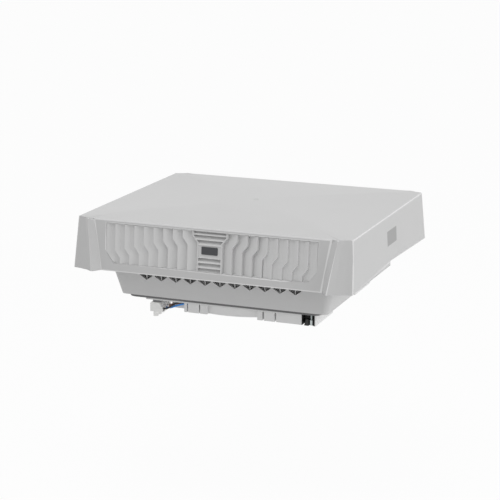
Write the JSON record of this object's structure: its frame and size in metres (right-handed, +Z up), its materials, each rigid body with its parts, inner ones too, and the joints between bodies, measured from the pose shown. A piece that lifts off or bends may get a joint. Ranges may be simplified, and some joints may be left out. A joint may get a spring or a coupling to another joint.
{
  "type": "enclosure roof fan",
  "caption": "Low rectangular enclosure roof fan: louvred lift-off weather hood over a vented tray, axial fan in a duct, screw clamps and a terminal strip under the roof line",
  "frame": {"origin": "middle of the roof plane, on the underside of the gasket", "axes": "X across the front, -Y the badge side, Z up"},
  "size_m": [0.4, 0.369, 0.1495],
  "materials": {
    "hood_plastic": "light grey, fine satin",
    "louvre_plastic": "light grey, fine satin",
    "badge_plastic": "dark grey, plain",
    "tray_plastic": "light grey, fine satin",
    "gasket_foam": "black closed-cell foam",
    "collar_plastic": "light grey, fine satin",
    "duct_plastic": "light grey, fine satin",
    "zinc": "bright zinc plate",
    "guard_wire": "zinc-plated wire",
    "cast_flange": "die-cast",
    "core_steel": "laminated",
    "copper": "enamelled copper wire",
    "bearing_steel": "ground",
    "cup_steel": "drawn",
    "ferrite": "sintered",
    "impeller_plastic": "black, glass-filled",
    "white_nylon": "natural white",
    "brass": "turned",
    "bracket_plastic": "dark grey",
    "jaw_plastic": "black, glass-filled nylon",
    "black_sheath": "black insulation",
    "blue_sheath": "blue insulation",
    "brown_sheath": "brown insulation"
  },
  "bodies": {
    "base": {"base_tray": "tray_plastic", "roof_gasket": "gasket_foam", "mounting_collar": "collar_plastic", "corner_block_1": "collar_plastic", "corner_block_2": "collar_plastic", "corner_block_3": "collar_plastic", "fan_duct": "duct_plastic", "clamp_guides": "jaw_plastic", "frame_screws": "zinc", "fan_guard": "guard_wire", "guard_screws": "zinc", "motor_flange": "cast_flange", "motor_screws": "zinc", "stator_core": "core_steel", "stator_winding": "copper", "bearing_lower": "bearing_steel", "bearing_upper": "bearing_steel", "terminal_block": "white_nylon", "terminal_clamps": "brass", "terminal_screws": "zinc", "terminal_bracket": "bracket_plastic", "bracket_screw": "zinc", "lead_black": "black_sheath", "lead_blue": "blue_sheath", "lead_brown": "brown_sheath"},
    "hood": {"hood": "hood_plastic", "louvre_front": "louvre_plastic", "louvre_rear": "louvre_plastic", "name_badge": "badge_plastic"},
    "rotor": {"motor_shaft": "bearing_steel", "shaft_ring": "core_steel", "rotor_cup": "cup_steel", "rotor_magnet": "ferrite", "impeller": "impeller_plastic"},
    "screw_1": {"clamp_screw_1": "zinc"},
    "nut_1": {"clamp_nut_1": "zinc"},
    "jaw_1": {"clamp_jaw_1": "jaw_plastic"},
    "screw_2": {"clamp_screw_2": "zinc"},
    "nut_2": {"clamp_nut_2": "zinc"},
    "jaw_2": {"clamp_jaw_2": "jaw_plastic"},
    "screw_3": {"clamp_screw_3": "zinc"},
    "nut_3": {"clamp_nut_3": "zinc"},
    "jaw_3": {"clamp_jaw_3": "jaw_plastic"}
  },
  "joints": [
    {"name": "impeller_spin", "type": "hinge", "parent": "base", "child": "rotor", "pos_m": [0, 0, 0.017], "axis": [0, 0, 1], "continuous": true},
    {"name": "hood_lift", "type": "slide", "parent": "base", "child": "hood", "axis": [0, 0, 1], "range_m": [0, 0.09]},
    {"name": "clamp_turn_1", "type": "hinge", "parent": "base", "child": "screw_1", "pos_m": [0.12475, -0.115, 0.0056], "axis": [0, 0, -1], "range_deg": [0, 2520]},
    {"name": "nut_climb_1", "type": "slide", "parent": "base", "child": "nut_1", "axis": [0, 0, 1], "range_m": [0, 0.0055]},
    {"name": "jaw_swing_1", "type": "hinge", "parent": "nut_1", "child": "jaw_1", "pos_m": [0.12475, -0.115, -0.0125], "axis": [0, 0, 1], "range_deg": [0, 90]},
    {"name": "clamp_turn_2", "type": "hinge", "parent": "base", "child": "screw_2", "pos_m": [0.12475, 0.115, 0.0056], "axis": [0, 0, -1], "range_deg": [0, 2520]},
    {"name": "nut_climb_2", "type": "slide", "parent": "base", "child": "nut_2", "axis": [0, 0, 1], "range_m": [0, 0.0055]},
    {"name": "jaw_swing_2", "type": "hinge", "parent": "nut_2", "child": "jaw_2", "pos_m": [0.12475, 0.115, -0.0125], "axis": [0, 0, -1], "range_deg": [0, 90]},
    {"name": "clamp_turn_3", "type": "hinge", "parent": "base", "child": "screw_3", "pos_m": [-0.12475, 0.115, 0.0056], "axis": [0, 0, -1], "range_deg": [0, 2520]},
    {"name": "nut_climb_3", "type": "slide", "parent": "base", "child": "nut_3", "axis": [0, 0, 1], "range_m": [0, 0.0055]},
    {"name": "jaw_swing_3", "type": "hinge", "parent": "nut_3", "child": "jaw_3", "pos_m": [-0.12475, 0.115, -0.0125], "axis": [0, 0, 1], "range_deg": [0, 90]}
  ],
  "couplings": [
    {"joint": "clamp_turn_1", "follows": "nut_climb_1", "rad_per_m": 7854},
    {"joint": "clamp_turn_2", "follows": "nut_climb_2", "rad_per_m": 7854},
    {"joint": "clamp_turn_3", "follows": "nut_climb_3", "rad_per_m": 7854}
  ]
}
